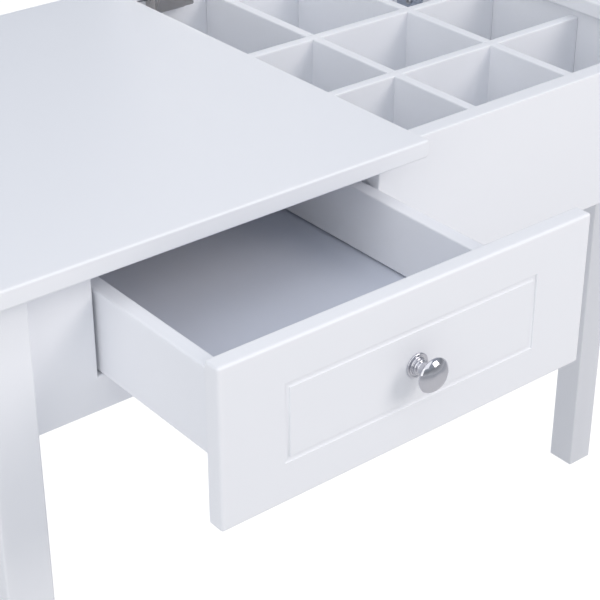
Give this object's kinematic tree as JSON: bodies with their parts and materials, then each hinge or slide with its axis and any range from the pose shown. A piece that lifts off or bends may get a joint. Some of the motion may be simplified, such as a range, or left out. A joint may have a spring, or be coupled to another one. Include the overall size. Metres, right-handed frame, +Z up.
{
  "type": "vanity table",
  "caption": "Dressing table with a flip-up mirror lid over a divided organiser, and a sliding drawer on each side of it.",
  "frame": {"origin": "on the floor, under the middle of the table's box as stored: lid up and left drawer drawn out", "axes": "+X along the table to the sitter's right, +Y from the sitter to the wall, +Z up"},
  "size_m": [1.06, 0.6038, 1.1726],
  "materials": {
    "white_lacquer": "satin white lacquer on fibreboard",
    "white_hardboard": "white-faced hardboard",
    "bare_beech": "bare planed wood",
    "mirror_glass": "silvered float glass",
    "clip_plastic": "translucent moulded plastic",
    "polished_chrome": "polished",
    "nickel_steel": "nickel-plated pressed steel",
    "zinc_steel": "bright zinc-plated"
  },
  "bodies": {
    "frame": {"corner_braces": "zinc_steel", "frame_dowels": "bare_beech", "frame_screws": "zinc_steel", "front_apron": "white_lacquer", "front_cross_divider": "white_lacquer", "front_left_leg": "white_lacquer", "front_right_leg": "white_lacquer", "left_divider": "white_lacquer", "left_hinge_housing": "nickel_steel", "left_inner_runner": "bare_beech", "left_outer_runner": "bare_beech", "left_partition": "white_lacquer", "left_side_apron": "white_lacquer", "left_tilt_rail": "bare_beech", "left_top": "white_lacquer", "leg_bolts": "zinc_steel", "organiser_floor": "white_lacquer", "rear_cross_divider": "white_lacquer", "rear_left_leg": "white_lacquer", "rear_panel": "white_lacquer", "rear_panel_screws": "zinc_steel", "rear_right_leg": "white_lacquer", "right_divider": "white_lacquer", "right_hinge_housing": "nickel_steel", "right_inner_runner": "bare_beech", "right_outer_runner": "bare_beech", "right_partition": "white_lacquer", "right_side_apron": "white_lacquer", "right_tilt_rail": "bare_beech", "right_top": "white_lacquer", "stay_plate": "nickel_steel", "top_angles": "zinc_steel"},
    "lid": {"left_hinge_leaf": "nickel_steel", "left_hinge_pin": "nickel_steel", "lid_panel": "white_lacquer", "lid_screws": "zinc_steel", "mirror_clips": "clip_plastic", "mirror_glass": "mirror_glass", "right_hinge_leaf": "nickel_steel", "right_hinge_pin": "nickel_steel"},
    "left_drawer": {"left_drawer_back": "white_lacquer", "left_drawer_bottom": "white_hardboard", "left_drawer_dowels": "bare_beech", "left_drawer_front": "white_lacquer", "left_drawer_inner_side": "white_lacquer", "left_drawer_knob": "polished_chrome", "left_drawer_knob_rosette": "polished_chrome", "left_drawer_knob_screw": "zinc_steel", "left_drawer_outer_side": "white_lacquer"},
    "right_drawer": {"right_drawer_back": "white_lacquer", "right_drawer_bottom": "white_hardboard", "right_drawer_dowels": "bare_beech", "right_drawer_front": "white_lacquer", "right_drawer_inner_side": "white_lacquer", "right_drawer_knob": "polished_chrome", "right_drawer_knob_rosette": "polished_chrome", "right_drawer_knob_screw": "zinc_steel", "right_drawer_outer_side": "white_lacquer"}
  },
  "joints": [
    {"name": "lid_hinge", "type": "hinge", "parent": "frame", "child": "lid", "pos_m": [0, 0.25943, 0.765], "axis": [1, 0, 0], "range_deg": [0, 95]},
    {"name": "left_drawer_slide", "type": "slide", "parent": "frame", "child": "left_drawer", "axis": [0, -1, 0], "range_m": [-0.1475, 0.0725]},
    {"name": "right_drawer_slide", "type": "slide", "parent": "frame", "child": "right_drawer", "axis": [0, -1, 0], "range_m": [0, 0.22]}
  ]
}
